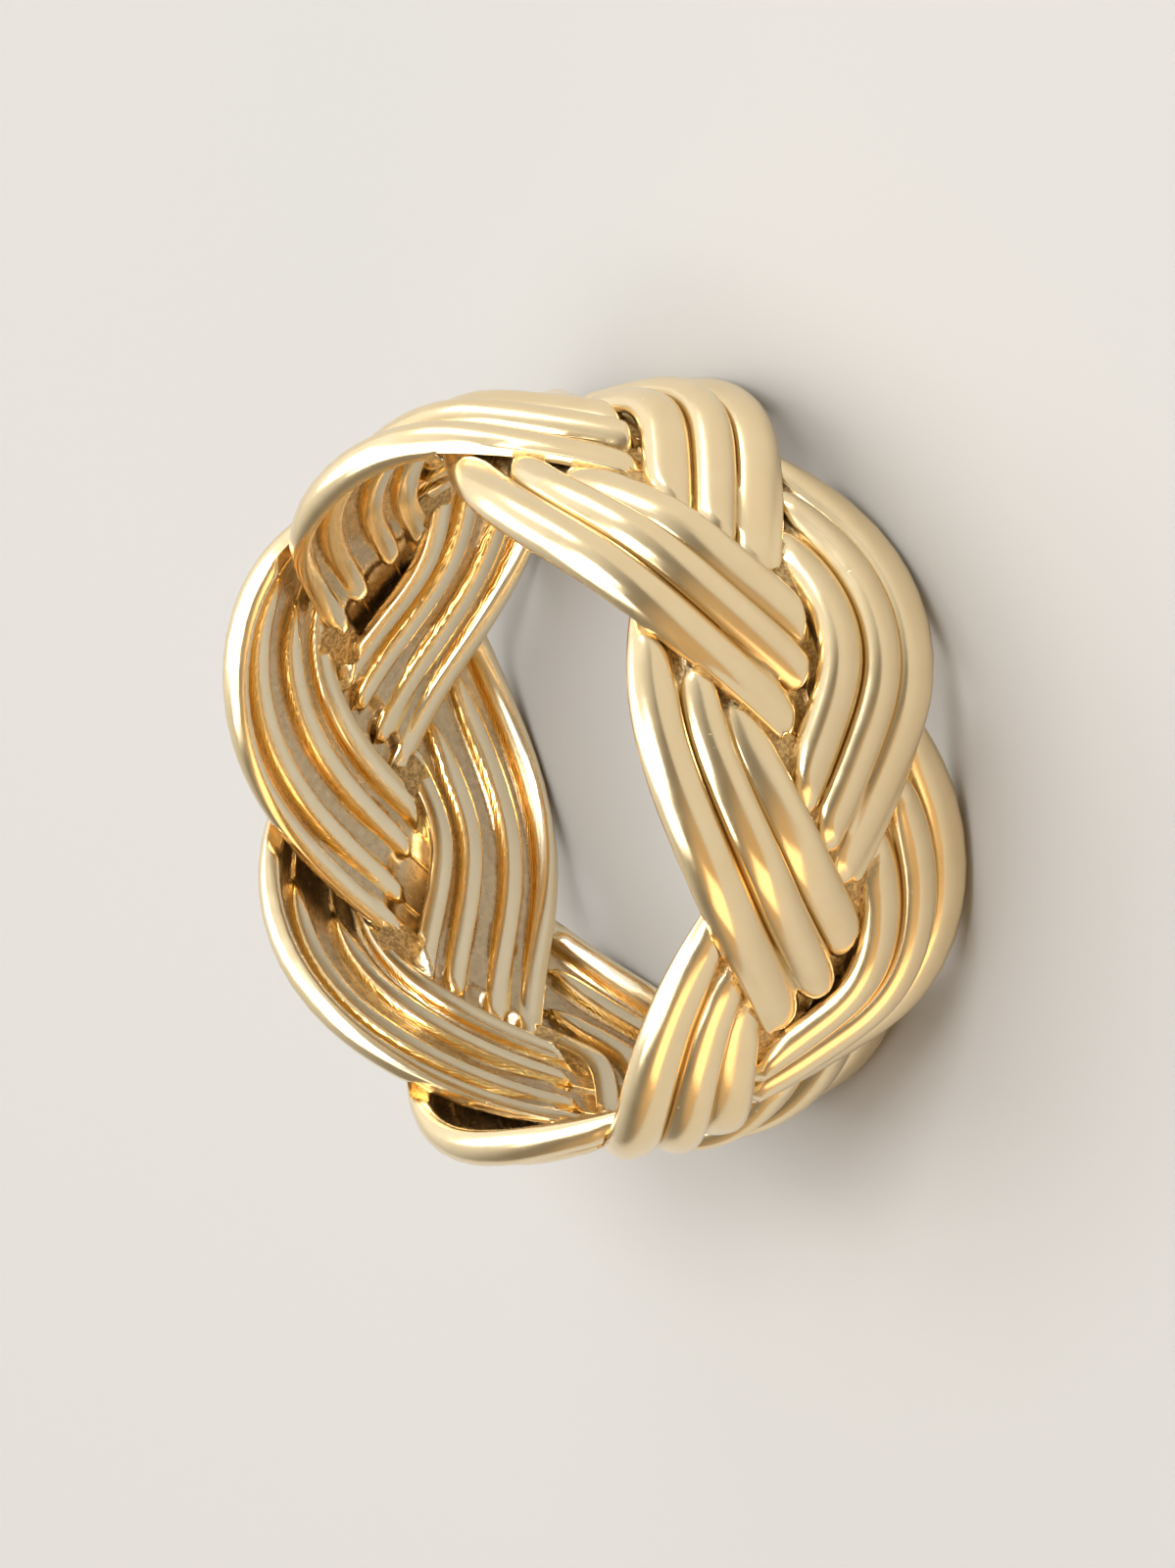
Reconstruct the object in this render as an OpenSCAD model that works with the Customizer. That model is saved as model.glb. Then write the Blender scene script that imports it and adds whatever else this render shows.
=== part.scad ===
// Braided band ring, one continuous three-ribbed strand plaited into a seven-bight band.
// The ring lies on its side: its axis is Z and its lower rim rests on z = 0.

/* [Finger hole] */
// Diameter of the finger hole between the inner faces of the rims
finger_d = 16.9; // [15.7:0.1:19]

/* [Braid] */
// Swing of the strand's middle line either side of the middle of the band
swing = 3.04; // [3:0.01:3.15]
// How far the strand rises where it goes over, and sinks where it goes under
rise = 0.39; // [0.37:0.01:0.45]
// Tilt of the strand's outer face in the middle of a bight, in degrees
bight_tilt = 5.3; // [3:0.1:6]
// Further tilt of the strand's outer face halfway across the band, in degrees
cross_tilt = 4.4; // [3:0.1:5]

/* [Strand] */
// Distance between the two grooves, which is the width of the middle rib
groove_pitch = 1.24; // [1.1:0.01:1.3]
// Height of the middle rib above the grooves
rib_h = 0.42; // [0.3:0.01:0.5]
// Distance from the strand's middle line to the middle of an edge rib
edge_offset = 1.35; // [1.3:0.01:1.36]
// Radius of the rounded edge ribs
edge_r = 0.61; // [0.55:0.01:0.62]
// Depth of the centre of an edge rib below the grooves
edge_drop = 0.38; // [0.34:0.01:0.42]
// Wall between a groove outside and the land behind it inside
wall = 0.36; // [0.33:0.01:0.45]
// Depth of the hollow channels behind the ribs
channel_depth = 0.3; // [0.1:0.01:0.32]
// Width of the channel behind the middle rib
channel_w = 0.6; // [0.4:0.01:0.7]
// Width of the channels behind the edge ribs
outer_channel_w = 0.38; // [0.3:0.01:0.4]
// Width of a channel's sloping side
channel_slope = 0.07; // [0.05:0.01:0.1]

/* [Crossings] */
// Gap between the two layers of a crossing
layer_gap = 0.08; // [0.06:0.01:0.12]
// Sideways gap between the edge of a pass and the pass that dives under it
side_gap = 0.09; // [0.06:0.01:0.12]
// Length over which a pass dives beside the pass that lies over it
dive_ramp = 0.4; // [0.35:0.01:0.45]
// Length over which the underside of a pass drops again beyond the pass that it lies over
hollow_ramp = 0.3; // [0.25:0.01:0.35]
// Thinnest metal in either layer of a crossing
layer_wall = 0.24; // [0.15:0.01:0.26]
// Depth of the gap between the layers below the grooves' mean radius
split_drop = 0.15; // [0.12:0.01:0.18]

/* [Hidden] */
gold = [0.90, 0.78, 0.54];

// The strand closes on itself after three turns of the ring and seven bights.
turns = 3;
bights = 7;
bight_turn = 360 * turns / bights;
bight_step = 360 / bights;

// Mean radius of the grooves, from the hole and what reaches deepest into it, which is the
// edge rib tilted inwards at the rim, where the strand has made a third of its dip.
mid_r = finger_d / 2 + edge_r + edge_drop + edge_offset * sin(bight_tilt) + rise / 3;
edge_reach = edge_offset + edge_r;
split_r = mid_r - split_drop;

// Waves that shape the strand's path. Columns: waves a bight, cosine part, sine part.
swing_waves = [[1, swing, 0], [3, 0.02 * swing, -0.053 * swing]];
around_waves = [[2, 2.1, 1.8], [4, 0, 0.5]];
lift_waves = [[2, 0.08 * rise, rise], [4, 0.08 * rise, 0.26 * rise]];
tilt_waves = [[1, -bight_tilt, -cross_tilt]];

function wave(waves, phase) =
    let (parts = [for (w = waves) w[1] * cos(w[0] * phase) + w[2] * sin(w[0] * phase)])
    parts * [for (w = waves) 1];

// Middle line: height across the band, angle around the ring and arc length around it.
function across(phase) = wave(swing_waves, phase);
function around(phase) = phase * turns / bights + wave(around_waves, phase);
function unrolled(phase) = [around(phase) * PI / 180 * mid_r, across(phase)];

// Direction of the middle line on the unrolled band, with its length in mm a degree.
step = 0.01;
function run(phase) = (unrolled(phase + step) - unrolled(phase)) / step;
function unit(v) = v / norm(v);
function sideways(t) = [-t[1], t[0]];

// Distance of a point on the unrolled band from the middle line of another pass, which is
// some steps of the braid further round and runs the other way across the band.
function foot(p, phase, n) =
    n == 0 ? phase :
    let (v = run(phase))
    foot(p, phase + (p - unrolled(phase)) * v / (v * v), n - 1);
function offset_from(p, phase, steps) =
    let (
        q = p - [steps * bight_step * PI / 180 * mid_r, 0],
        other = foot(q, -phase, 5)
    )
    (q - unrolled(other)) * sideways(unit(run(other)));

// Cover of a pass at a point: 1 well inside its width and 0 clear of it.
full_reach = edge_reach + side_gap;
function smooth(x) = let (t = min(1, max(0, x))) t * t * (3 - 2 * t);
function cover(p, phase, steps, ramp) =
    smooth((full_reach + ramp - abs(offset_from(p, phase, steps))) / ramp);

// Phase at which the strand's middle line passes the edge of another pass, by halving.
function edge_phase(low, high, steps, reach, n = 16) =
    let (
        middle = (low + high) / 2,
        beyond = offset_from(unrolled(middle), middle, steps) < reach
    )
    n == 0 ? middle : edge_phase(beyond ? low : middle, beyond ? middle : high, steps, reach, n - 1);

// Sections of half a bight, by phase: the strand lies over another pass from over_from to
// over_to and under the next one from under_from to under_to, with a slope at each end.
inner_reach = full_reach - side_gap / 2;
over_from = edge_phase(5, 60, 1, inner_reach);
over_to = edge_phase(60, 110, 1, -inner_reach);
under_from = edge_phase(80, 120, 2, inner_reach);
under_to = edge_phase(120, 170, 2, -inner_reach);
function between(a, b, part) = a + (b - a) * part;
slope = 5;
half_stations = [0, between(0, over_from - slope, 0.55), over_from - slope, over_from,
    between(over_from, over_to, 0.33), between(over_from, over_to, 0.66), over_to,
    between(over_to, under_from, 0.3), between(over_to, under_from, 0.62), under_from,
    between(under_from, under_to, 0.5), under_to, under_to + slope,
    between(under_to + slope, 180, 0.5)];
stations = concat([for (p = half_stations) p - 180], half_stations);

// Sections lean towards the direction of the crossing pass: degrees of phase at the edge.
lean_ends = 15.7;
lean_middle = 12.7;
function lean(station) =
    let (mid = pow(sin(station), 4))
    sign(station) * smooth(abs(sin(station)) / 0.4) * (lean_middle * mid + lean_ends * (1 - mid));

// Outline of the strand as [offset across, height above the grooves], in rising offset.
// Outside it has the middle rib, the grooves and a rounded rib at each edge.
groove = groove_pitch / 2;
edge_top = edge_r - edge_drop;
rib_points = [for (a = [-50, 0, 50]) [groove * sin(a), rib_h * cos(a)]];
edge_inner = [[groove, 0], [between(groove, edge_offset, 0.35), edge_top * 0.75]];
edge_outer = [for (a = [90, 52, 15, -22, -60])
    [edge_offset + edge_r * cos(a), edge_r * sin(a) - edge_drop]];
outer_half = concat(edge_inner, edge_outer);

// Share of the edge rib's depth below the lands that it keeps away from the rim.
least_curl = 0.2;

// Inside it has a land behind each groove, and channels behind the ribs.
channel_edge = channel_w / 2;
land_near = channel_edge + channel_slope;
land_far = groove_pitch - land_near;
outer_channel = land_far + channel_slope;
outer_channel_end = outer_channel + outer_channel_w;
channel_h = channel_depth - wall;
edge_inside_h = -edge_drop - edge_r * 0.75;
inner_half = [[channel_edge, channel_h], [land_near, -wall], [land_far, -wall],
    [outer_channel, channel_h], [outer_channel_end, channel_h - channel_depth / 3],
    [outer_channel_end + channel_slope, edge_inside_h]];

function flip(points) = [for (i = [len(points) - 1:-1:0]) [-points[i][0], points[i][1]]];
function back(points) = [for (i = [len(points) - 1:-1:0]) points[i]];
outer_line = concat(flip(outer_half), rib_points, outer_half);
inner_line = back(concat(flip(inner_half), inner_half));
outline = concat(outer_line, inner_line);

// Limits on the radius of a skin point, which keep the layers of a crossing apart.
function pull_in(r, amount, wall) = r - amount * max(0, r + wall - split_r + layer_gap / 2);
function push_out(r, amount, wall) = r + amount * max(0, split_r + layer_gap / 2 + wall - r);

// What lies deeper than the lands keeps its full depth only at the rim, where the edge rib
// curls round to the inside.
function curled(h, s, phase) =
    let (rim = pow(max(0, sign(s) * cos(phase)), 4))
    h > -wall ? h : -wall + (h + wall) * between(least_curl, 1, rim);

// A point of the strand's skin: [x, y, z] from a station and a point of the outline.
function skin(station, k) =
    let (
        s = outline[k][0],
        is_outside = k < len(outer_line),
        phase = station + lean(station) * s / edge_reach,
        h = curled(outline[k][1], s, phase),
        r_line = mid_r + wave(lift_waves, phase),
        r_plain = r_line + h + s * sin(wave(tilt_waves, phase)),
        side = sideways(unit(run(phase))),
        p = unrolled(phase) + s * [side[0] * mid_r / r_line, side[1]],
        over = cover(p, phase, station < 0 ? -2 : 1, hollow_ramp),
        under = cover(p, phase, station < 0 ? -1 : 2, dive_ramp),
        r_low = pull_in(r_plain, under, is_outside ? 0 : layer_wall),
        r = push_out(r_low, over, is_outside && h > -wall / 2 ? layer_wall : 0),
        angle = p[0] / mid_r * 180 / PI
    )
    [r * cos(angle), -r * sin(angle), p[1]];

// The skin over one bight, and how far it reaches from the middle of the band to a rim.
bight_skin = [for (station = stations) for (k = [0:len(outline) - 1]) skin(station, k)];
half_band = max([for (p = bight_skin) p[2]]);
function turned(p, t) = [p[0] * cos(t) + p[1] * sin(t), p[1] * cos(t) - p[0] * sin(t), p[2]];

// The strand is one closed skin: the skin of a bight, turned on for each bight in turn.
module braid_strand() {
    count = len(outline);
    sections = bights * len(stations);
    points = [for (b = [0:bights - 1]) for (p = bight_skin) turned(p, b * bight_turn)];
    faces = [for (i = [0:sections - 1]) for (k = [0:count - 1])
        let (
            j = (i + 1) % sections,
            next = (k + 1) % count,
            a = i * count + k,
            b = i * count + next,
            c = j * count + next,
            d = j * count + k
        )
        for (face = [[a, c, b], [a, d, c]]) face];
    color(gold) translate([0, 0, half_band]) polyhedron(points, faces);
}

braid_strand();
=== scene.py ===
"""Braided band ring in polished yellow gold, lying on its side on a plain pale floor."""

import math

import bmesh
import bpy
import numpy as np
from mathutils import Matrix, Vector, noise


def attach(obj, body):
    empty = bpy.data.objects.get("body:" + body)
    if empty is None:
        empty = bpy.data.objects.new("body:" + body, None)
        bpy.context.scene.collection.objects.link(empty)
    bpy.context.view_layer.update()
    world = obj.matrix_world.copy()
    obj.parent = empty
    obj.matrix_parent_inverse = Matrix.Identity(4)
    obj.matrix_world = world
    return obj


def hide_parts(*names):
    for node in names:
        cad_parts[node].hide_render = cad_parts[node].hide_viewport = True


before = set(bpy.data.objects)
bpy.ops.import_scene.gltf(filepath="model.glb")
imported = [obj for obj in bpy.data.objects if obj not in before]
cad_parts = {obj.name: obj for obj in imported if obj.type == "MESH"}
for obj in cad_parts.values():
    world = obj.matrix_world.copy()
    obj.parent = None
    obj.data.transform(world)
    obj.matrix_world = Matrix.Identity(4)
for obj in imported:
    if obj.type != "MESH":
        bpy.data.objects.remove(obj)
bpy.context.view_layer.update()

# Sizes of the strand in millimetres and degrees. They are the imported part's, apart from a few
# that are a little smaller, so that this finer skin stays inside the part's box.
MM = 0.001
TURNS = 3
BIGHTS = 7
BIGHT_TURN = 360 * TURNS / BIGHTS
BIGHT_STEP = 360 / BIGHTS
SWING = 3.02
RISE = 0.39
BIGHT_TILT = 5.3
CROSS_TILT = 4.4
GROOVE = 0.62
RIB_H = 0.405
EDGE_OFFSET = 1.35
EDGE_R = 0.573
EDGE_DROP = 0.345
WALL = 0.36

# Mean radius of the grooves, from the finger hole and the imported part's edge rib
FINGER_D = 16.9
CAD_EDGE_R = 0.61
CAD_EDGE_DROP = 0.38
RIM_DIP = EDGE_OFFSET * math.sin(math.radians(BIGHT_TILT))
MID_R = FINGER_D / 2 + CAD_EDGE_R + CAD_EDGE_DROP + RIM_DIP + RISE / 3
REACH = EDGE_OFFSET + EDGE_R
HALF_BAND = 5.0314

# Waves of the strand's path. Columns: waves a bight, cosine part, sine part.
SWING_WAVES = [(1, SWING, 0), (3, 0.02 * SWING, -0.053 * SWING)]
AROUND_WAVES = [(2, 2.1, 1.8), (4, 0, 0.5)]
LIFT_WAVES = [(2, 0.08 * RISE, RISE), (4, 0.08 * RISE, 0.26 * RISE)]
TILT_WAVES = [(1, -BIGHT_TILT, -CROSS_TILT)]

# The layers of a crossing overlap a little at this depth below the grooves' mean radius, so
# that they fuse into one casting
SPLIT_DROP = 0.17
SPLIT_R = MID_R - SPLIT_DROP
LAYER_LAP = 0.09
LAYER_WALL = 0.24

# How far a crossing pass reaches to each side of its middle line, for the rib ends beside it and
# for the pass that dives under it, and the lengths over which skins slope up or down beside it
FULL_REACH = 2.05
DIVE_REACH = 1.88
DIVE_RAMP = 0.34
OVER_RAMP = 0.3

# Radius of a loop as long as the strand
LOOP_R = 31

# Steps of the search for the nearest point on another pass
FOOT_STEPS = 6


def wave(waves, phase):
    """Sum of a few waves at a phase in degrees."""
    a = np.radians(phase)
    return sum(c * np.cos(n * a) + s * np.sin(n * a) for n, c, s in waves)


def wave_slope(waves, phase):
    """Slope of the same sum for each degree of phase."""
    a = np.radians(phase)
    return sum(n * (s * np.cos(n * a) - c * np.sin(n * a)) for n, c, s in waves) * math.pi / 180


def unrolled(phase):
    """Middle line on the unrolled band: arc length round it and height across it."""
    around = phase * TURNS / BIGHTS + wave(AROUND_WAVES, phase)
    return np.stack([np.radians(around) * MID_R, wave(SWING_WAVES, phase)], -1)


def run(phase):
    """Direction of the middle line on the unrolled band, in millimetres a degree."""
    turn = TURNS / BIGHTS + wave_slope(AROUND_WAVES, phase)
    return np.stack([np.radians(turn) * MID_R, wave_slope(SWING_WAVES, phase)], -1)


def sideways(v):
    """Unit vector to the left of v."""
    n = v / np.linalg.norm(v, axis=-1, keepdims=True)
    return np.stack([-n[..., 1], n[..., 0]], -1)


def offset_from(p, phase, steps):
    """Distance of p from the middle line of the pass that is some steps of the braid on."""
    q = p - np.stack([np.radians(steps * BIGHT_STEP) * MID_R + 0 * phase, 0 * phase], -1)
    foot = -phase
    for _ in range(FOOT_STEPS):
        v = run(foot)
        foot = foot + ((q - unrolled(foot)) * v).sum(-1) / (v * v).sum(-1)
    return ((q - unrolled(foot)) * sideways(run(foot))).sum(-1)


def smooth(x):
    """Smooth step from 0 to 1."""
    t = np.clip(x, 0, 1)
    return t * t * (3 - 2 * t)


def mix(a, b, t):
    """Value that lies a share t of the way from a to b."""
    return a + (b - a) * t


# Sections stand closer together where a pass meets the edge of another one
EDGE_PHASES = [21, 93, 99, 149]
EDGE_SPREAD = 8.0
EDGE_WEIGHT = 2.0
SECTIONS = 128
FINE_STEPS = 7201


def section_phases(count):
    """Phases of the sections of one bight, closer together near the edges of a crossing."""
    fine = np.linspace(-180, 180, FINE_STEPS)
    weight = np.ones_like(fine)
    for edge in EDGE_PHASES:
        for side in (-1, 1):
            weight += EDGE_WEIGHT * np.exp(-(((fine - side * edge) / EDGE_SPREAD) ** 2))
    total = np.concatenate([[0], np.cumsum((weight[1:] + weight[:-1]) / 2)])
    wanted = np.arange(count + 1) / count * total[-1]
    return np.interp(wanted, total, fine)


# Degrees of phase by which a section leans at the strand's edge, and the sine of the phase
# over which the lean grows from nothing
LEAN_MIDDLE = 12.7
LEAN_ENDS = 15.7
LEAN_EASE = 0.4


def lean(station):
    """Lean of a section, which follows the crossing pass."""
    middle = np.sin(np.radians(station)) ** 4
    amount = LEAN_MIDDLE * middle + LEAN_ENDS * (1 - middle)
    return np.sign(station) * smooth(np.abs(np.sin(np.radians(station))) / LEAN_EASE) * amount


# The outline is a list of points. Each slides towards the middle of its rib or land where that
# ends beside a crossing. Columns: place when the rib has no width, growth with the rib's width,
# full height, height when the rib has none, whether it is outside, and growth with the width
# of the strand's rounded edge.
VALLEY = 0.01
GROOVE_H = -0.07
RIB_ROUND = 0.55
PIT_H = -0.03
LAND_MIDDLE = 0.62
LAND_HALF = 0.37
LAND_H = -WALL - 0.03
FLOOR_H = -0.07
DAM_H = -0.17
HOLLOW_H = -0.15
CHANNEL_END = 1.25

# Points on a quarter of a rib's section and round the strand's edge, and the angle at its end
RIB_STEPS = 7
EDGE_STEPS = 11
EDGE_END = -48

# How full the foot of a rib or land is, how round a land is, and how the edge is drawn in
FOOT_POWER = 6
LAND_ROUND = 0.9
EDGE_TUCK = 1.35

# Dips below the groove's sides and below the channels' floors, and the corner's place
GROOVE_DIP = 0.02
FLOOR_DIP = 0.03
CORNER_DIP = 0.06
CORNER_IN = 0.02

# Steps across half a land, from its foot to its middle
LAND_STEPS = (1, 0.93, 0.84, 0.7, 0.4, 0)

# Inner face of the strand's edge. Columns: place across the strand, height.
EDGE_FACE = [(1.66, -0.82), (1.56, -0.80), (1.46, -0.73), (1.37, -0.60), (1.31, -0.44), (1.275, -0.28)]


def outer_profile():
    """Outside of the strand from its middle to the right edge."""
    rows = []
    half = GROOVE - VALLEY
    for angle in np.radians(np.linspace(0, 90, RIB_STEPS)):
        t = math.sin(angle)
        crown = mix(GROOVE_H, RIB_H, max(0, 1 - t * t) ** RIB_ROUND)
        rows.append([0, half * t, crown, mix(PIT_H, GROOVE_H, t**FOOT_POWER), 1, 0])
    inner = EDGE_OFFSET - GROOVE - VALLEY
    low = GROOVE_H - GROOVE_DIP
    for f in (0.25, 0.5, 0.75):
        rows.append([EDGE_OFFSET * f, mix(half, -inner, f), low, low, 1, 0])
    top = EDGE_R - EDGE_DROP
    for angle in np.radians(np.linspace(-90, 0, RIB_STEPS)[:-1]):
        t = math.sin(angle)
        crown = mix(GROOVE_H, top, max(0, 1 - t * t) ** RIB_ROUND)
        rows.append([EDGE_OFFSET, inner * t, crown, mix(PIT_H, GROOVE_H, t**FOOT_POWER), 1, 0])
    for angle in np.radians(np.linspace(90, EDGE_END, EDGE_STEPS)):
        across = EDGE_OFFSET + EDGE_R * math.cos(angle)
        height = EDGE_R * math.sin(angle) - EDGE_DROP
        least = min(height, mix(PIT_H, -EDGE_DROP, math.cos(angle) ** 2))
        tuck = min(1, max(0, 1 + EDGE_TUCK * math.sin(angle))) * (across - EDGE_OFFSET)
        rows.append([across - tuck, 0, height, least, 1, tuck])
    return rows


def inner_profile():
    """Inside of the strand from the right edge to its middle."""
    rows = [[s, 0, h, h, 0, 0] for s, h in EDGE_FACE]
    rows.append([CHANNEL_END - CORNER_IN, 0, FLOOR_H - CORNER_DIP, DAM_H - CORNER_DIP, 0, 0])
    for f in (0.2, 0.6):
        across = mix(CHANNEL_END, LAND_MIDDLE, f)
        rows.append([across, LAND_HALF * f, FLOOR_H - FLOOR_DIP, DAM_H - FLOOR_DIP, 0, 0])
    for t in LAND_STEPS + tuple(-t for t in LAND_STEPS[-2::-1]):
        rise = (1 - abs(t) ** FOOT_POWER) ** LAND_ROUND
        hollow = mix(FLOOR_H, HOLLOW_H, rise)
        rows.append([LAND_MIDDLE, LAND_HALF * t, mix(FLOOR_H, LAND_H, rise), hollow, 0, 0])
    rows.append([LAND_MIDDLE * 0.5, -LAND_HALF * 0.5, FLOOR_H, DAM_H, 0, 0])
    rows.append([0, 0, FLOOR_H + 0.01, DAM_H + 0.01, 0, 0])
    return rows


def whole_outline():
    """Points of the whole outline, outside from left to right and inside back again."""
    outer, inner = np.array(outer_profile()), np.array(inner_profile())
    mirror = np.array([-1, -1, 1, 1, 1, -1])
    return np.concatenate([outer[:0:-1] * mirror, outer, inner, inner[-2::-1] * mirror])


OUTLINE = whole_outline()
IS_OUTER = OUTLINE[:, 4] > 0
FULL_S = OUTLINE[:, 0] + OUTLINE[:, 1] + OUTLINE[:, 5]


# Share of the depth below the lands that an edge keeps away from the rim
LEAST_CURL = 0.2


def curled(h, s, phase):
    """What lies deeper than the lands keeps its full depth only at the rim."""
    rim = np.maximum(0, np.sign(s) * np.cos(np.radians(phase))) ** 4
    return np.where(h > LAND_H, h, LAND_H + (h - LAND_H) * mix(LEAST_CURL, 1, rim))


# Ends of ribs outside and of lands inside. A leaf is where they begin and a finger where they
# stop. Columns: place of the tip beyond the crossing's edge, length of the end, its bluntness.
RIB_LEAF_WIDTH = (-0.45, 1.25, 2.0)
RIB_LEAF_HEIGHT = (-0.45, 0.6, 2.0)
RIB_FINGER_WIDTH = (-0.22, 0.8, 2.0)
RIB_FINGER_HEIGHT = (-0.35, 0.5, 2.0)
LAND_LEAF_WIDTH = (0.1, 1.5, 1.8)
LAND_LEAF_HEIGHT = (0.1, 0.7, 2.0)
LAND_FINGER_WIDTH = (0.3, 0.8, 2.4)
LAND_FINGER_HEIGHT = (0.3, 0.3, 2.0)
LEAST_WIDTH = 0.12

# A rib comes back to its full size this far under the crossing pass
COVERED_FROM = -0.15
COVERED_RAMP = 0.3

# Phases past which ribs begin as leaves, and before which lands do
RIB_LEAF_PHASE = 120
LAND_LEAF_PHASE = 60

# Outside, what lies above this height keeps the layer's wall over a crossing
WALL_FROM = -0.30
WALL_RAMP = 0.22

# Pits lie this far up from the grooves, this far across and this far beyond the crossing's edge
PIT_UP = 0.15
PIT_ACROSS = 1.5
PIT_ACROSS_RAMP = 0.3
PIT_BEYOND = 0.50
PIT_BEYOND_RAMP = 0.45


def tip(beyond, start, length, power):
    """Width or height of a rib from 0 at its tip to 1 at a length beyond it."""
    q = np.clip(1 - (beyond - start) / length, 0, 1)
    return (1 - q**power) ** (1 / power)


def place(st, s):
    """Phase, point on the unrolled band and radius of the middle line for points of a section."""
    phase = st + lean(st) * s / REACH
    r_line = MID_R + wave(LIFT_WAVES, phase)
    side = sideways(run(phase))
    shift = np.stack([side[..., 0] * MID_R / r_line, side[..., 1]], -1)
    return phase, unrolled(phase) + s[..., None] * shift, r_line


def strand_points(stations):
    """Points of the skin for the sections of one bight: sections by outline, in millimetres."""
    st = stations[:, None]
    s = FULL_S[None, :] + 0 * st
    outer = IS_OUTER[None, :]
    under_steps = np.where(st < 0, -1, 2)
    over_steps = np.where(st < 0, -2, 1)
    half = np.where(st < 0, st + 180, st)

    # Outside, ribs begin as leaves where they come out from under a pass and stop as fingers
    # where they dive. Inside, lands end the same way beside the pass that the strand goes over.
    phase, p, _ = place(st, s)
    beyond = np.abs(offset_from(p, phase, under_steps)) - FULL_REACH
    leaf = half > RIB_LEAF_PHASE
    covered = smooth((COVERED_FROM - beyond) / COVERED_RAMP)
    finger_w = np.maximum(tip(beyond, *RIB_FINGER_WIDTH), covered)
    finger_h = np.maximum(tip(beyond, *RIB_FINGER_HEIGHT), covered)
    rib_w = np.where(leaf, np.maximum(tip(beyond, *RIB_LEAF_WIDTH), covered), finger_w)
    rib_h = np.where(leaf, np.maximum(tip(beyond, *RIB_LEAF_HEIGHT), covered), finger_h)
    edge = np.where(leaf, 1, finger_w)
    within = np.abs(offset_from(p, phase, over_steps)) - FULL_REACH
    leaf = half < LAND_LEAF_PHASE
    land_w = np.where(leaf, tip(within, *LAND_LEAF_WIDTH), tip(within, *LAND_FINGER_WIDTH))
    land_h = np.where(leaf, tip(within, *LAND_LEAF_HEIGHT), tip(within, *LAND_FINGER_HEIGHT))
    width = mix(LEAST_WIDTH, 1, np.where(outer, rib_w, land_w))
    is_land = (np.abs(OUTLINE[:, 0]) == LAND_MIDDLE)[None, :]
    height = np.where(outer, rib_h, np.where(is_land, land_h, rib_h))
    s = OUTLINE[None, :, 0] + OUTLINE[None, :, 1] * width + OUTLINE[None, :, 5] * edge
    h = mix(OUTLINE[None, :, 3], OUTLINE[None, :, 2], height)

    phase, p, r_line = place(st, s)
    h = curled(h, s, phase)
    r = r_line + h + s * np.sin(np.radians(wave(TILT_WAVES, phase)))
    from_under = np.abs(offset_from(p, phase, under_steps))
    under = smooth((DIVE_REACH + DIVE_RAMP - from_under) / DIVE_RAMP)
    from_over = np.abs(offset_from(p, phase, over_steps))
    over = smooth((FULL_REACH + OVER_RAMP - from_over) / OVER_RAMP)
    top = np.where(outer, 0, LAYER_WALL)
    r = r - under * np.maximum(0, r + top - (SPLIT_R + LAYER_LAP / 2))
    bottom = np.where(outer, LAYER_WALL * smooth((h - WALL_FROM) / WALL_RAMP), 0)
    r = r + over * np.maximum(0, SPLIT_R - LAYER_LAP / 2 + bottom - r)
    angle = p[..., 0] / MID_R
    points = np.stack([r * np.cos(angle), -r * np.sin(angle), p[..., 1] + HALF_BAND], -1)

    # Zones: pits beside a crossing outside, channel floors inside, and which side it is
    low = np.clip(1 - (h - GROOVE_H) / PIT_UP, 0, 1)
    low = low * smooth((PIT_ACROSS - np.abs(FULL_S[None, :])) / PIT_ACROSS_RAMP)
    pit = np.where(outer, low * smooth((PIT_BEYOND - beyond) / PIT_BEYOND_RAMP), 0)
    is_floor = ~outer & ~is_land & (np.abs(OUTLINE[None, :, 0]) < CHANNEL_END)
    up_wall = np.clip((h - LAND_H) / (FLOOR_H - LAND_H), 0, 1)
    channel = np.where(is_floor, 1, np.where(outer, 0, up_wall))
    zone = np.stack([pit, channel, 1.0 - outer + 0 * h, 1 + 0 * h], -1)
    return points, zone, np.stack([np.radians(phase) / BIGHTS, s], -1)


def turned(points, number):
    """Points of the first bight, turned round the ring to another one."""
    turn = -math.radians(BIGHT_TURN * number)
    c, s = math.cos(turn), math.sin(turn)
    x, y = points[..., 0], points[..., 1]
    return np.stack([x * c - y * s, x * s + y * c, points[..., 2]], -1)


def new_object(name, vertices, faces, zones, lays):
    """Mesh object at the origin, from points in millimetres, with zones and places on the strand."""
    mesh = bpy.data.meshes.new(name)
    mesh.from_pydata((vertices * MM).tolist(), [], faces)
    layer = mesh.attributes.new("zone", "FLOAT_COLOR", "POINT")
    layer.data.foreach_set("color", zones.astype(np.float32).ravel())
    layer = mesh.attributes.new("lay", "FLOAT_VECTOR", "POINT")
    layer.data.foreach_set("vector", lays.astype(np.float32).ravel())
    mesh.update()
    made = bpy.data.objects.new(name, mesh)
    bpy.context.scene.collection.objects.link(made)
    return made


def cap_faces(count):
    """Triangles that close one section of the strand, as a strip between outside and inside."""
    outer = int(IS_OUTER.sum())
    i, j = 0, count - 1
    faces = []
    while i < outer - 1 or j > outer:
        if j == outer or (i < outer - 1 and FULL_S[i + 1] < FULL_S[j - 1]):
            faces.append((i, i + 1, j))
            i += 1
        else:
            faces.append((i, j - 1, j))
            j -= 1
    return faces


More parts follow.
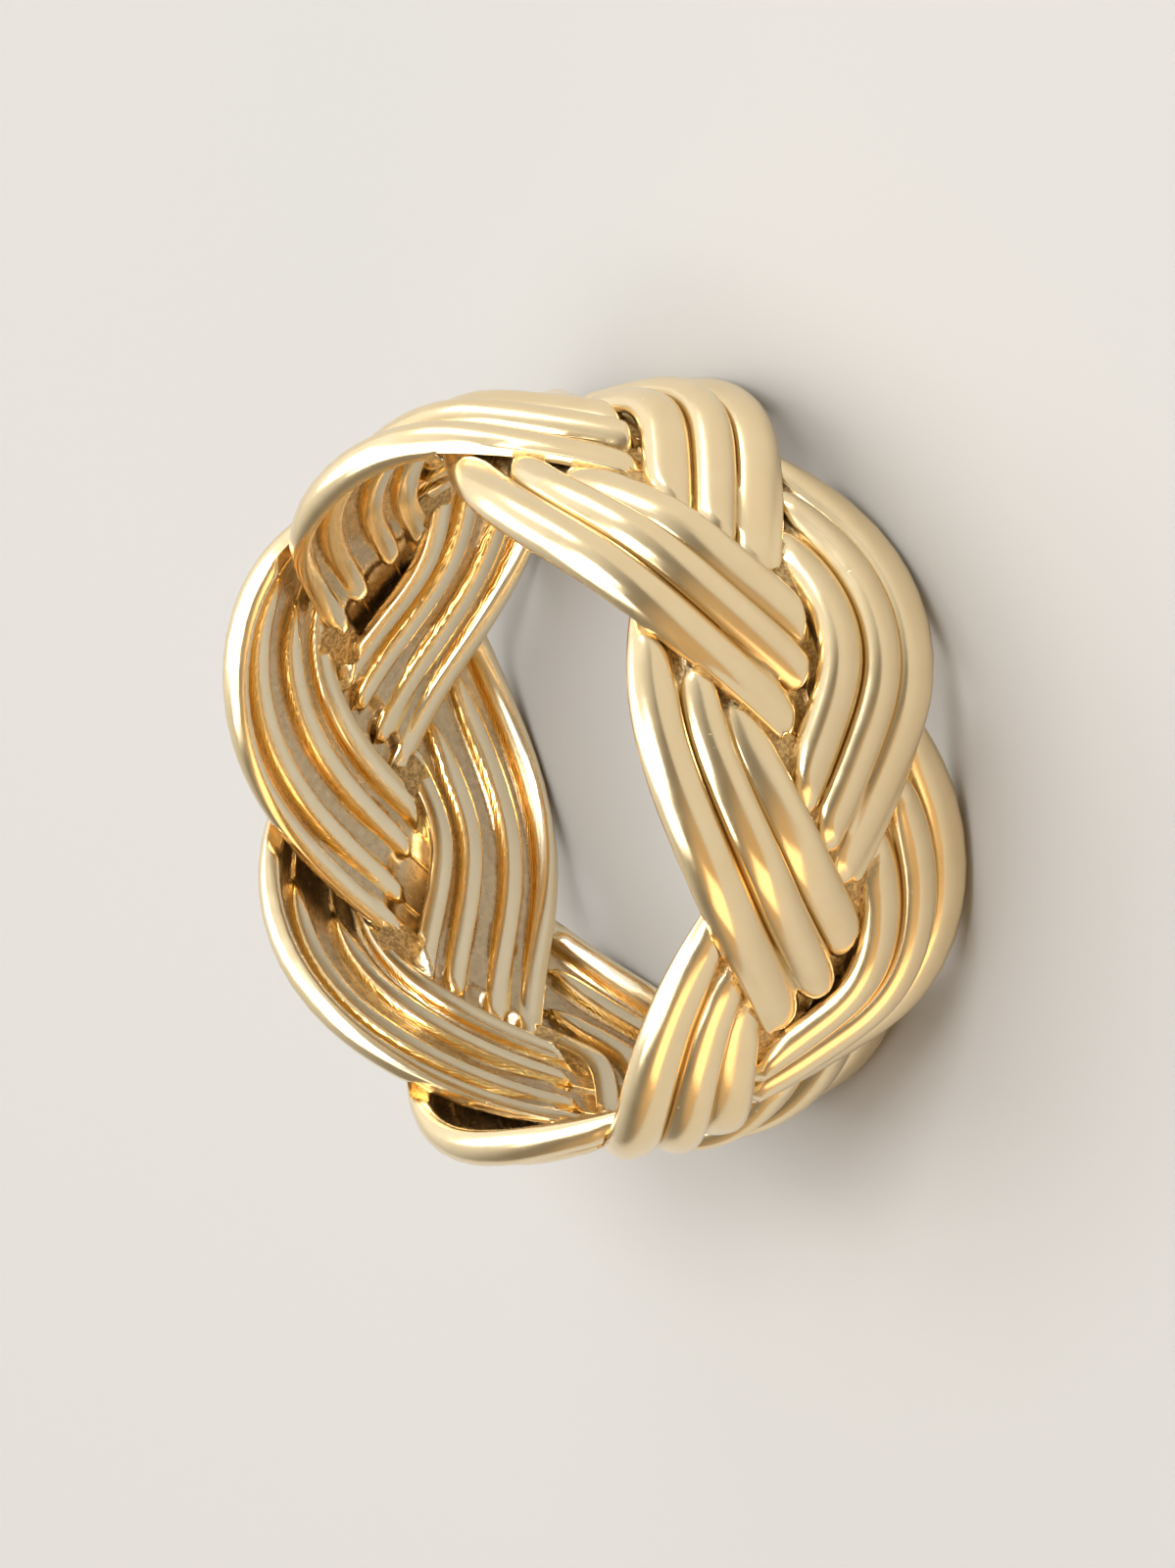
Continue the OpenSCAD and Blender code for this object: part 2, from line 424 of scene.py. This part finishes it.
def wound(lays, number):
    """Places on the strand in a bight, as points on a long loop: no seam where the strand closes."""
    a = lays[..., 0] + 2 * math.pi * number / BIGHTS
    return np.stack([LOOP_R * np.cos(a), LOOP_R * np.sin(a), lays[..., 1]], -1).reshape(-1, 3)


# Share of a section's length that is left open where two bights meet, and the distance in
# millimetres within which their borders are welded afterwards
HAIR = 0.002
WELD = 0.005


def bight_solids():
    """The strand as seven closed solids, one a bight, with a hair's gap where two meet."""
    points, zones, lays = strand_points(section_phases(SECTIONS)[:-1])
    sections, count = points.shape[:2]
    cap = cap_faces(count)
    faces = [face[::-1] for face in cap]
    faces += [tuple(sections * count + k for k in face) for face in cap]
    for i in range(sections):
        for k in range(count):
            n = (k + 1) % count
            faces.append((i * count + n, (i + 1) * count + n, (i + 1) * count + k, i * count + k))
    zones = np.concatenate([zones, zones[:1]])
    lays = np.concatenate([lays, lays[:1] + np.array([2 * math.pi / BIGHTS, 0])])

    # The two ends are marked by a zero in the fourth part of their zones, to be found again
    zones[[0, -1], :, 3] = 0
    rows = np.concatenate([points, turned(points[:1], 1)])
    rows[0] = mix(rows[0], rows[1], HAIR)
    rows[-1] = mix(rows[-1], rows[-2], HAIR)
    solids = []
    for number in range(BIGHTS):
        vertices = turned(rows, number).reshape(-1, 3)
        solids.append(new_object("bight_%d" % number, vertices, faces, zones, wound(lays, number)))
    return solids


# Webs close the corners where three passes meet. Columns: angle round the band, height across.
WEBS = [(24.80, -1.04), (50.51, 1.04)]
WEB_SHIFT = 0.12

# A web's half length and half height, its inner and outer radius, and its grain
WEB_HALF = (0.88, 0.62)
WEB_R = (9.40, 9.61)
WEB_THIN = 0.3
WEB_GRAIN = 0.04
WEB_GRAINS = 9
WEB_RINGS = 7
WEB_SPOKES = 22
# Zones of the webs: grainy like the pits, with painted shade between the grains, and the painted shade
# of the channel floors
WEB_ZONE = (0.8, 1.0, 0.5, 1.0)


def web_skin(number, angle, across):
    """Points and faces of a small rough lens of metal that closes one corner."""
    rings, spokes = WEB_RINGS, WEB_SPOKES
    vertices, faces = [], []
    for side in (1, 0):
        for i in range(rings + 1):
            for k in range(spokes if i else 1):
                t = 2 * math.pi * k / spokes
                f = i / rings
                u = WEB_HALF[0] * f * math.cos(t)
                v = WEB_HALF[1] * f * math.sin(t)
                r = mix(WEB_R[side], sum(WEB_R) / 2, WEB_THIN * f**4)
                spot = Vector((u * WEB_GRAINS + number * 7, v * WEB_GRAINS, side * 5))
                r += WEB_GRAIN * noise.noise(spot) * (1 - f**4)
                a = math.radians(angle) + (WEB_SHIFT + u) / MID_R
                vertices.append([r * math.cos(a), -r * math.sin(a), across + v + HALF_BAND])
    half = 1 + rings * spokes

    def at(side, i, k):
        return side * half + (0 if i == 0 else 1 + (i - 1) * spokes + k % spokes)

    for k in range(spokes):
        faces.append((at(0, 0, 0), at(0, 1, k + 1), at(0, 1, k)))
        faces.append((at(1, 0, 0), at(1, 1, k), at(1, 1, k + 1)))
        for i in range(1, rings):
            faces.append((at(0, i, k + 1), at(0, i + 1, k + 1), at(0, i + 1, k), at(0, i, k)))
            faces.append((at(1, i, k), at(1, i + 1, k), at(1, i + 1, k + 1), at(1, i, k + 1)))
        faces.append((at(1, rings, k + 1), at(1, rings, k), at(0, rings, k), at(0, rings, k + 1)))
    return vertices, faces


def web_solids():
    """The webs of all corners, as one object."""
    vertices, faces = [], []
    for step in range(BIGHTS):
        for angle, across in WEBS:
            points, parts = web_skin(len(vertices), angle + step * BIGHT_STEP, across)
            faces += [tuple(k + len(vertices) for k in face) for face in parts]
            vertices += points
    zones = np.tile(WEB_ZONE, (len(vertices), 1))
    return new_object("webs", np.array(vertices), faces, zones, np.array(vertices))


def fuse(parts):
    """Unites solids into one."""
    whole = parts[0]
    for part in parts[1:]:
        union = whole.modifiers.new("fuse", "BOOLEAN")
        union.operation = "UNION"
        union.solver = "MANIFOLD"
        union.object = part
    bpy.context.view_layer.update()
    graph = bpy.context.evaluated_depsgraph_get()
    mesh = bpy.data.meshes.new_from_object(whole.evaluated_get(graph))
    for part in parts:
        bpy.data.objects.remove(part)
    made = bpy.data.objects.new("braid", mesh)
    bpy.context.scene.collection.objects.link(made)
    return made


def close_gaps(mesh):
    """Joins each bight to the next one: takes off the two caps and welds their borders."""
    work = bmesh.new()
    work.from_mesh(mesh)
    zone = work.verts.layers.float_color["zone"]
    ends = [v for v in work.verts if v[zone][3] < 0.5]
    border = set(ends)
    caps = [f for f in work.faces if all(v in border for v in f.verts)]
    bmesh.ops.delete(work, geom=caps, context="FACES")
    bmesh.ops.remove_doubles(work, verts=ends, dist=WELD * MM)
    work.to_mesh(mesh)
    work.free()


def keep_largest(mesh):
    """Drops the small closed shells that the union leaves between two layers."""
    work = bmesh.new()
    work.from_mesh(mesh)
    left = set(work.verts)
    shells = []
    while left:
        shell = [left.pop()]
        for vertex in shell:
            for edge in vertex.link_edges:
                other = edge.other_vert(vertex)
                if other in left:
                    left.remove(other)
                    shell.append(other)
        shells.append(shell)
    shells.sort(key=len)
    for shell in shells[:-1]:
        bmesh.ops.delete(work, geom=shell, context="VERTS")
    work.to_mesh(mesh)
    work.free()


def cut_to_triangles(mesh):
    """Takes out the spare vertices that the union leaves on edges, and cuts faces to triangles."""
    work = bmesh.new()
    work.from_mesh(mesh)
    spare = [v for v in work.verts if len(v.link_edges) == 2]
    while spare:
        bmesh.ops.dissolve_verts(work, verts=spare)
        spare = [v for v in work.verts if len(v.link_edges) == 2]
    bmesh.ops.triangulate(work, faces=work.faces[:])
    work.to_mesh(mesh)
    work.free()


# Edges that bend by more than this stay sharp in the shading
SHARP_ANGLE = 75

braid = fuse(bight_solids())
close_gaps(braid.data)
braid = fuse([braid, web_solids()])
mesh = braid.data
keep_largest(mesh)
cut_to_triangles(mesh)
for poly in mesh.polygons:
    poly.use_smooth = True
mesh.set_sharp_from_angle(angle=math.radians(SHARP_ANGLE))


class Nodes:
    """Short way to write a material's nodes."""

    def __init__(self, tree):
        self.tree = tree

    def add(self, kind, values=(), **settings):
        """Node of a kind. Values fill its inputs by name or number, or link to them."""
        node = self.tree.nodes.new(kind)
        for name, value in settings.items():
            setattr(node, name, value)
        for name, value in dict(values).items():
            if isinstance(value, bpy.types.NodeSocket):
                self.tree.links.new(value, node.inputs[name])
            else:
                node.inputs[name].default_value = value
        return node

    def math(self, operation, a, b=0.0, clamp=False):
        """Result of an operation on one or two numbers."""
        node = self.add("ShaderNodeMath", {0: a, 1: b}, operation=operation, use_clamp=clamp)
        return node.outputs[0]

    def noise(self, place, scale, detail=3.0, rough=0.55):
        """Noise from 0 to 1 at a place."""
        values = {"Vector": place, "Scale": scale, "Detail": detail, "Roughness": rough}
        return self.add("ShaderNodeTexNoise", values).outputs["Fac"]

    def between(self, value, low, high, start=0.0, end=1.0):
        """Value carried over from the range low to high to the range start to end."""
        values = {0: value, 1: low, 2: high, 3: start, 4: end}
        return self.add("ShaderNodeMapRange", values).outputs[0]

    def vector(self, operation, a, b=None):
        """Vector worked out from one or two others, or from one and a number to scale it by."""
        values = {0: a}
        if b is not None:
            values[3 if operation == "SCALE" else 1] = b
        return self.add("ShaderNodeVectorMath", values, operation=operation).outputs[0]

    def blend(self, factor, a, b):
        """Colour between a and b."""
        node = self.add("ShaderNodeMix", data_type="RGBA")
        for socket, value in ((0, factor), (6, a), (7, b)):
            if isinstance(value, bpy.types.NodeSocket):
                self.tree.links.new(value, node.inputs[socket])
            else:
                node.inputs[socket].default_value = value
        return node.outputs[2]

    def bump(self, height, distance, below=None):
        """Normal of a relief, on top of the relief below it."""
        values = {"Height": height, "Strength": 1.0, "Distance": distance}
        if below is not None:
            values["Normal"] = below
        return self.add("ShaderNodeBump", values).outputs["Normal"]


# Colours of the gold, each as its darker and its lighter tone
OUTSIDE_TONES = ((0.87, 0.68, 0.39, 1), (0.94, 0.78, 0.51, 1))
# The land colour is paler than the outside, as a painted reflection of a bright surrounding
LAND_REFLECTION_TONES = ((0.90, 0.77, 0.53, 1), (0.97, 0.87, 0.66, 1))
# The channel floor colour is painted shade, darker down in the channels
CHANNEL_FLOOR_SHADE_TONES = ((0.36, 0.26, 0.15, 1), (0.80, 0.64, 0.42, 1))
# The wall colour is a painted orange glow of light bounced between the gold walls
WALL_BOUNCE_TONES = ((0.93, 0.53, 0.13, 1), (1.0, 0.76, 0.32, 1))
# The grain colour is the pits' cast grain, with painted shade in the dark between the grains
GRAIN_AND_SHADE_TONES = ((0.38, 0.21, 0.06, 1), (0.92, 0.68, 0.31, 1))
# The groove colour is painted shade in the creases between the ribs
GROOVE_SHADE_COLOUR = (0.50, 0.33, 0.12, 1)

# Heights of the relief in metres, and the distance between growth stripes in millimetres
WAVE_RELIEF = 0.00003
LINE_RELIEF = 0.0000012
PINHOLE_RELIEF = 0.000006
STRIPE_RELIEF = 0.0000022
GRAIN_RELIEF = 0.00007
STRIPE_GAP = 0.085

# Lumps of noise in a millimetre
CLOUDS = 0.8
SMEARS = 1.7
PINHOLES = 4.5
GRAINS = 9.0
WOBBLES = 1.3
WALL_SPOTS = 6.0
FLOOR_SPOTS = 5.0

# The same for the lines and waves of polish: twice for along the strand, then across it
POLISH_LINES = (0.35, 0.35, 9.0)
POLISH_WAVES = (0.30, 0.30, 1.6)

# Ranges of noise that are spread out to full contrast
SMEAR_RANGE = (0.35, 0.65)
GRAIN_RANGE = (0.42, 0.58)
PINHOLE_RANGE = (0.755, 0.80)

# How steeply colours change beside a groove (painted shade), down a channel's wall (painted bounced
# light) and onto its floor (painted shade)
GROOVE_SHADE_FADE = 9.0
WALL_FADE = 2.2
FLOOR_FROM = 0.75
FLOOR_FADE = 3.5

# Most of a groove's painted shade, and of a pit's grainy colour with painted shade between the grains,
# that shows
GROOVE_SHADE_SHARE = 0.8
PIT_SHARE = 0.85

# Roughness where the polish is finest and coarsest, and what channels and pits add to it
POLISH = (0.16, 0.25)
CHANNEL_ROUGHNESS = 0.06
PIT_ROUGHNESS = 0.14

# Parts of the smears that are cloudy and that follow the lines of polish
SMEAR_SHARES = (0.6, 0.4)

# How far the growth stripes wander, in millimetres, and the grain of the floors beside the pits'
WOBBLE = 0.35
FLOOR_GRAIN = 0.12


def gold_material():
    """Polished gold: pale and smooth outside with painted shade in the grooves; inside, paler lands as
    a painted reflection, striped channel walls with painted bounced light and channel floors with
    painted shade; grainy in the pits, with painted shade between the grains.
    """
    mat = bpy.data.materials.new("polished_gold")
    mat.use_nodes = True
    n = Nodes(mat.node_tree)
    shader = mat.node_tree.nodes["Principled BSDF"]
    shader.inputs["Metallic"].default_value = 1.0

    zone = n.add("ShaderNodeAttribute", attribute_name="zone")
    parts = n.add("ShaderNodeSeparateColor", {0: zone.outputs["Color"]})
    pit, channel, inside = parts.outputs[0], parts.outputs[1], parts.outputs[2]
    lay = n.add("ShaderNodeAttribute", attribute_name="lay").outputs["Vector"]
    place = n.vector("SCALE", n.add("ShaderNodeTexCoord").outputs["Object"], 1 / MM)
    flat = n.vector("MULTIPLY", place, (1, 1, 0))
    radius = n.add("ShaderNodeVectorMath", {0: flat}, operation="LENGTH").outputs["Value"]

    # Colour: champagne outside and darker in the grooves, a painted shade in the creases between the
    # ribs
    cloud = n.noise(place, CLOUDS, 2.0)
    across = n.math("ABSOLUTE", n.add("ShaderNodeSeparateXYZ", {0: lay}).outputs["Z"])
    from_groove = n.math("ABSOLUTE", n.math("SUBTRACT", across, GROOVE))
    groove_shade = n.math("SUBTRACT", 1.0, n.math("MULTIPLY", from_groove, GROOVE_SHADE_FADE), True)
    groove_shade = n.math("MULTIPLY", groove_shade, n.math("SUBTRACT", 1.0, inside))
    outside_colour = n.blend(cloud, *OUTSIDE_TONES)
    groove_shade = n.math("MULTIPLY", groove_shade, GROOVE_SHADE_SHARE)
    outside_colour = n.blend(groove_shade, outside_colour, GROOVE_SHADE_COLOUR)

    # Inside, paler on the lands, a painted reflection of a bright surrounding; a painted orange glow
    # of bounced light on the channels' walls and painted brown shade on their floors
    body = n.blend(inside, outside_colour, n.blend(cloud, *LAND_REFLECTION_TONES))
    from_middle = n.math("ABSOLUTE", n.math("SUBTRACT", n.math("MULTIPLY", channel, 2.0), 1.0))
    wall_share = n.math("MULTIPLY", n.math("SUBTRACT", 1.0, from_middle), WALL_FADE, True)
    floor_share = n.math("SUBTRACT", channel, FLOOR_FROM, True)
    floor_share = n.math("MULTIPLY", floor_share, FLOOR_FADE, True)
    # Channel walls get a painted orange glow of bounced light
    painted_channel_colour = n.blend(wall_share, body, n.blend(n.noise(place, WALL_SPOTS), *WALL_BOUNCE_TONES))
    # Channel floors get painted brown shade
    painted_channel_colour = n.blend(floor_share, painted_channel_colour, n.blend(n.noise(place, FLOOR_SPOTS), *CHANNEL_FLOOR_SHADE_TONES))

    # Pits are grainy, with painted shade in the dark between the grains
    grains = n.noise(place, GRAINS, 5.0, 0.7)
    grain_and_shade_colour = n.blend(n.between(grains, *GRAIN_RANGE), *GRAIN_AND_SHADE_TONES)
    colour = n.blend(n.math("MULTIPLY", pit, PIT_SHARE), painted_channel_colour, grain_and_shade_colour)
    n.tree.links.new(colour, shader.inputs["Base Color"])

    # Fine lines and broad waves of polish that follow the strand
    lines = n.noise(n.vector("MULTIPLY", lay, POLISH_LINES), 1.0, 4.0, 0.6)
    waves = n.noise(n.vector("MULTIPLY", lay, POLISH_WAVES), 1.0, 1.0)

    # Roughness: polish with faint smears, coarser in the channels and pits
    smear = n.math("MULTIPLY", n.noise(place, SMEARS, 3.0), SMEAR_SHARES[0])
    smear = n.math("ADD", smear, n.math("MULTIPLY", lines, SMEAR_SHARES[1]))
    pit_rough = n.math("MULTIPLY", pit, PIT_ROUGHNESS)
    coarse = n.math("ADD", pit_rough, n.math("MULTIPLY", channel, CHANNEL_ROUGHNESS))
    rough = n.math("ADD", n.between(smear, *SMEAR_RANGE, *POLISH), coarse)
    n.tree.links.new(rough, shader.inputs["Roughness"])

    # Relief: waves and lines of polish, pinholes, growth stripes on the walls, grain in the pits
    normal = n.bump(waves, WAVE_RELIEF)
    normal = n.bump(lines, LINE_RELIEF, normal)
    holes = n.between(n.noise(place, PINHOLES, 2.0), *PINHOLE_RANGE, 1.0, 0.0)
    normal = n.bump(holes, PINHOLE_RELIEF, normal)
    wobble = n.math("MULTIPLY", n.noise(place, WOBBLES, 2.0), WOBBLE)
    turns = n.math("MULTIPLY", n.math("ADD", radius, wobble), 2 * math.pi / STRIPE_GAP)
    stripes = n.math("MULTIPLY", n.math("MULTIPLY", wall_share, inside), n.math("SINE", turns))
    normal = n.bump(stripes, STRIPE_RELIEF, normal)
    grainy = n.math("MAXIMUM", pit, n.math("MULTIPLY", floor_share, FLOOR_GRAIN))
    normal = n.bump(n.math("MULTIPLY", grains, grainy), GRAIN_RELIEF, normal)
    n.tree.links.new(normal, shader.inputs["Normal"])
    return mat


gold = gold_material()
mesh.materials.clear()
mesh.materials.append(gold)
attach(braid, "root")
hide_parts("braid_strand")

# Floor: plain and pale, two metres square
FLOOR_COLOUR = (0.375, 0.375, 0.375, 1)
FLOOR_ROUGHNESS = 0.7
floor_mesh = bpy.data.meshes.new("floor")
floor_mesh.from_pydata([(-1, -1, 0), (1, -1, 0), (1, 1, 0), (-1, 1, 0)], [], [(0, 1, 2, 3)])
floor = bpy.data.objects.new("floor", floor_mesh)
bpy.context.scene.collection.objects.link(floor)
floor_mat = bpy.data.materials.new("pale_floor")
floor_mat.use_nodes = True
floor_shader = floor_mat.node_tree.nodes["Principled BSDF"]
floor_shader.inputs["Base Color"].default_value = FLOOR_COLOUR
floor_shader.inputs["Roughness"].default_value = FLOOR_ROUGHNESS
floor_mesh.materials.append(floor_mat)

# Camera: where it stands as seen from the middle of the ring, in degrees and millimetres
CAMERA_AZIMUTH = 45.116
CAMERA_ELEVATION = 36.717
CAMERA_ROLL = 106.167
CAMERA_DISTANCE = 378.25
AIM = (-0.277, -0.121, 5.180)
LENS = 329.58
SENSOR = 36
camera_data = bpy.data.cameras.new("camera")
camera_data.lens = LENS
camera_data.sensor_width = SENSOR
camera_data.clip_start = 0.01
camera_data.clip_end = 10
camera = bpy.data.objects.new("camera", camera_data)
bpy.context.scene.collection.objects.link(camera)
azimuth, elevation = math.radians(CAMERA_AZIMUTH), math.radians(CAMERA_ELEVATION)
back = Vector((
    math.sin(azimuth) * math.cos(elevation),
    -math.cos(azimuth) * math.cos(elevation),
    math.sin(elevation),
))
upright = back.to_track_quat("Z", "Y").to_matrix()
roll = Matrix.Rotation(math.radians(-CAMERA_ROLL), 3, "Z")
stand = Matrix.Translation((Vector(AIM) + back * CAMERA_DISTANCE) * MM)
camera.matrix_world = stand @ (upright @ roll).to_4x4()
bpy.context.scene.camera = camera
bpy.context.scene.view_settings.view_transform = "Standard"

# Lights: large soft lamps. Columns: name, direction in the camera's right, up and back, distance,
# size, power, colour.
LIGHTS = [
    ("key", (-0.50, 0.18, 0.85), 0.5, 0.18, 1.3, (1.0, 0.98, 0.95)),
    ("overhead", (-0.80, -0.22, 0.56), 0.5, 0.46, 2.1, (1.0, 0.97, 0.92)),
    ("top", (-0.30, 0.95, 0.10), 0.5, 0.30, 1.0, (1.0, 0.98, 0.95)),
    ("left", (-0.97, 0.10, -0.05), 0.5, 0.30, 0.9, (1.0, 0.97, 0.92)),
    ("low", (0.30, -0.85, 0.45), 0.6, 0.46, 1.0, (1.0, 0.72, 0.42)),
]
view_axes = camera.matrix_world.to_3x3()


def soft_light(name, direction, distance, size, power, colour):
    """Square lamp that stands in a direction and faces the ring."""
    data = bpy.data.lights.new(name, "AREA")
    data.shape = "SQUARE"
    data.size = size
    data.energy = power
    data.color = colour
    light = bpy.data.objects.new(name, data)
    bpy.context.scene.collection.objects.link(light)
    towards = (view_axes @ Vector(direction)).normalized()
    facing = towards.to_track_quat("Z", "Y").to_matrix().to_4x4()
    light.matrix_world = Matrix.Translation(towards * distance) @ facing


for row in LIGHTS:
    soft_light(*row)

# Surrounding: pale towards the upper left of the picture, warm towards the lower right and dim
# between. Columns: place from the lower right to the upper left, colour.
SURROUND = [
    (0.0, (0.80, 0.52, 0.25)),
    (0.22, (0.58, 0.42, 0.25)),
    (0.36, (0.26, 0.22, 0.17)),
    (0.48, (0.27, 0.25, 0.22)),
    (0.68, (0.64, 0.62, 0.59)),
    (1.0, (1.15, 1.14, 1.12)),
]
PALE_SIDE = (-0.70, 0.62, -0.20)
world = bpy.data.worlds.new("studio")
bpy.context.scene.world = world
world.use_nodes = True
w = Nodes(world.node_tree)
looking = w.add("ShaderNodeTexCoord").outputs["Generated"]
pale_side = tuple((view_axes @ Vector(PALE_SIDE)).normalized())
level = w.add("ShaderNodeVectorMath", {0: looking, 1: pale_side}, operation="DOT_PRODUCT")
level = w.math("ADD", w.math("MULTIPLY", level.outputs["Value"], 0.5), 0.5)
ramp = w.add("ShaderNodeValToRGB", {0: level})
while len(ramp.color_ramp.elements) < len(SURROUND):
    ramp.color_ramp.elements.new(0.5)
for element, (at, colour) in zip(ramp.color_ramp.elements, SURROUND):
    element.position = at
    element.color = (*colour, 1)
background = world.node_tree.nodes["Background"]
w.tree.links.new(ramp.outputs["Color"], background.inputs["Color"])
background.inputs["Strength"].default_value = 1.0
